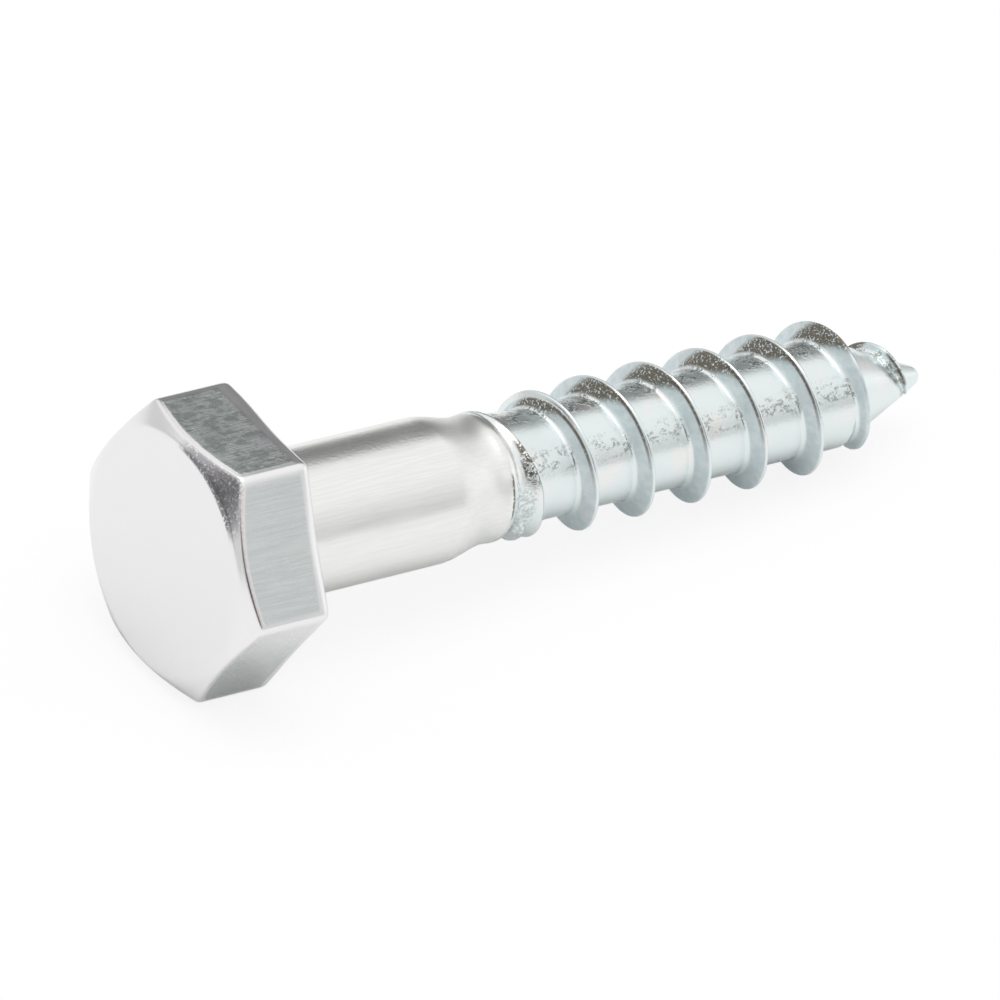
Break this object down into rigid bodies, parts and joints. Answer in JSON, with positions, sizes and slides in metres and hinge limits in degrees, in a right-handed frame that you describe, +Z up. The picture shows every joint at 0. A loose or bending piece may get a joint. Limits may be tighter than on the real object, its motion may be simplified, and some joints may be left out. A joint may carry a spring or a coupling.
{
  "type": "lag screw",
  "caption": "Hexagon head lag screw for wood: plain shank, coarse tapering thread with a broad run-in ridge and a blunt gimlet point, zinc-plated steel.",
  "frame": {"origin": "centre of the seat, the flat face under the head, on the screw's axis", "axes": "+X along the screw towards the point, as it lies; +Z up from the surface it lies on, one hexagon flat facing straight up and one down. At rest the screw's axis dips 4.94 degrees below +X, because it lies on the edge of its head and on a thread crest."},
  "size_m": [0.0588, 0.0196, 0.0175],
  "materials": {
    "zinc_plated_steel": "bright zinc plate, slightly blue, with fine die lines along the head's flats and a rougher rolled thread"
  },
  "bodies": {
    "root": {"lag_screw": "zinc_plated_steel"}
  },
  "joints": []
}
